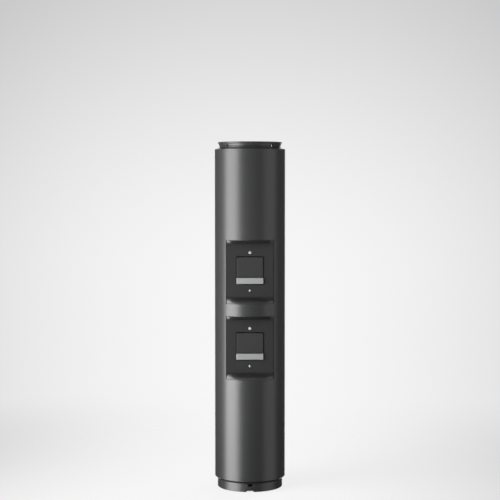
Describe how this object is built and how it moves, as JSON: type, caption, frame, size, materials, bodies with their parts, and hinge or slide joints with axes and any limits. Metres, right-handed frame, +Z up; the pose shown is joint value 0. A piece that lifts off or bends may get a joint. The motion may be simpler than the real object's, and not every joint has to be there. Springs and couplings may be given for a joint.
{
  "type": "ev charging post",
  "caption": "Round column module for street charging: coupling necks at both ends, recessed socket outlets with spring-closed lids, plug locks and rail-mounted switchgear inside.",
  "frame": {"origin": "centre of the lower neck's bottom face, on the post's axis", "axes": "+Z up along the post's axis, -Y towards the front with the sockets, +X to the right seen from the front"},
  "size_m": [0.2, 0.2, 0.9825],
  "materials": {
    "column_coat": "matt fine-texture anthracite powder coat",
    "pocket_coat": "matt dark grey coat, finer than the tube's",
    "lid_plastic": "fine-grained dark grey polyamide",
    "socket_plastic": "black glass-filled polyamide",
    "carrier_plastic": "black insulating plastic, finely grained",
    "grip_aluminium": "satin anodised aluminium, brushed along its length",
    "zinc_steel": "zinc-plated steel",
    "stainless": "stainless steel",
    "spring_steel": "stainless spring wire",
    "seal_rubber": "matt black EPDM",
    "gland_plastic": "black polyamide",
    "contact_brass": "silver-plated brass",
    "light_lens": "opal light-guide plastic, lit from behind",
    "board_green": "solder-masked circuit board",
    "actuator_plastic": "dark grey polyamide",
    "device_plastic": "light grey moulded plastic",
    "lever_plastic": "black thermoplastic",
    "button_plastic": "blue thermoplastic",
    "terminal_plastic": "grey polyamide"
  },
  "bodies": {
    "post": {"housing_tube": "column_coat", "top_coupling": "column_coat", "base_coupling": "column_coat", "top_coupling_screws": "stainless", "base_coupling_screws": "stainless", "top_bulkhead": "zinc_steel", "base_bulkhead": "zinc_steel", "bulkhead_screws": "stainless", "top_grommet": "seal_rubber", "cable_gland": "gland_plastic", "gland_nut": "gland_plastic", "pocket_gaskets": "seal_rubber", "insert_studs": "stainless", "insert_nuts": "stainless", "equipment_plate": "zinc_steel", "din_rails": "zinc_steel", "contactors": "device_plastic", "energy_meters": "device_plastic", "charge_controllers": "device_plastic", "terminal_block": "terminal_plastic", "earth_stud": "stainless", "pocket_upper": "pocket_coat", "socket_housing_upper": "socket_plastic", "socket_screws_upper": "stainless", "contact_carrier_upper": "carrier_plastic", "contacts_upper": "contact_brass", "hinge_pin_upper": "stainless", "lock_actuator_upper": "actuator_plastic", "status_lens_upper": "light_lens", "light_board_upper": "board_green", "panel_screw_upper": "stainless", "breaker_upper": "device_plastic", "pocket_lower": "pocket_coat", "socket_housing_lower": "socket_plastic", "socket_screws_lower": "stainless", "contact_carrier_lower": "carrier_plastic", "contacts_lower": "contact_brass", "hinge_pin_lower": "stainless", "lock_actuator_lower": "actuator_plastic", "status_lens_lower": "light_lens", "light_board_lower": "board_green", "panel_screw_lower": "stainless", "breaker_lower": "device_plastic"},
    "lid_upper": {"lid_upper": "lid_plastic", "lid_grip_upper": "grip_aluminium", "lid_seal_upper": "seal_rubber", "lid_spring_upper": "spring_steel"},
    "lock_bolt_upper": {"lock_bolt_upper": "stainless"},
    "breaker_lever_upper": {"breaker_lever_upper": "lever_plastic"},
    "test_button_upper": {"test_button_upper": "button_plastic"},
    "lid_lower": {"lid_lower": "lid_plastic", "lid_grip_lower": "grip_aluminium", "lid_seal_lower": "seal_rubber", "lid_spring_lower": "spring_steel"},
    "lock_bolt_lower": {"lock_bolt_lower": "stainless"},
    "breaker_lever_lower": {"breaker_lever_lower": "lever_plastic"},
    "test_button_lower": {"test_button_lower": "button_plastic"}
  },
  "joints": [
    {"name": "lid_hinge_upper", "type": "hinge", "parent": "post", "child": "lid_upper", "pos_m": [0, -0.0728, 0.6568], "axis": [-1, 0, 0], "range_deg": [0, 110], "stiffness_Nm_per_rad": 0.04, "springref_deg": -34.38},
    {"name": "bolt_slide_upper", "type": "slide", "parent": "post", "child": "lock_bolt_upper", "axis": [0, 0, -1], "range_m": [0, 0.0055]},
    {"name": "breaker_switch_upper", "type": "hinge", "parent": "post", "child": "breaker_lever_upper", "pos_m": [-0.018, -0.0125, 0.87], "axis": [1, 0, 0], "range_deg": [0, 54]},
    {"name": "test_press_upper", "type": "slide", "parent": "post", "child": "test_button_upper", "axis": [0, 1, 0], "range_m": [0, 0.0015], "stiffness_N_per_m": 300},
    {"name": "lid_hinge_lower", "type": "hinge", "parent": "post", "child": "lid_lower", "pos_m": [0, -0.0728, 0.4438], "axis": [-1, 0, 0], "range_deg": [0, 110], "stiffness_Nm_per_rad": 0.04, "springref_deg": -34.38},
    {"name": "bolt_slide_lower", "type": "slide", "parent": "post", "child": "lock_bolt_lower", "axis": [0, 0, -1], "range_m": [0, 0.0055]},
    {"name": "breaker_switch_lower", "type": "hinge", "parent": "post", "child": "breaker_lever_lower", "pos_m": [0.018, -0.0125, 0.87], "axis": [1, 0, 0], "range_deg": [0, 54]},
    {"name": "test_press_lower", "type": "slide", "parent": "post", "child": "test_button_lower", "axis": [0, 1, 0], "range_m": [0, 0.0015], "stiffness_N_per_m": 300}
  ]
}
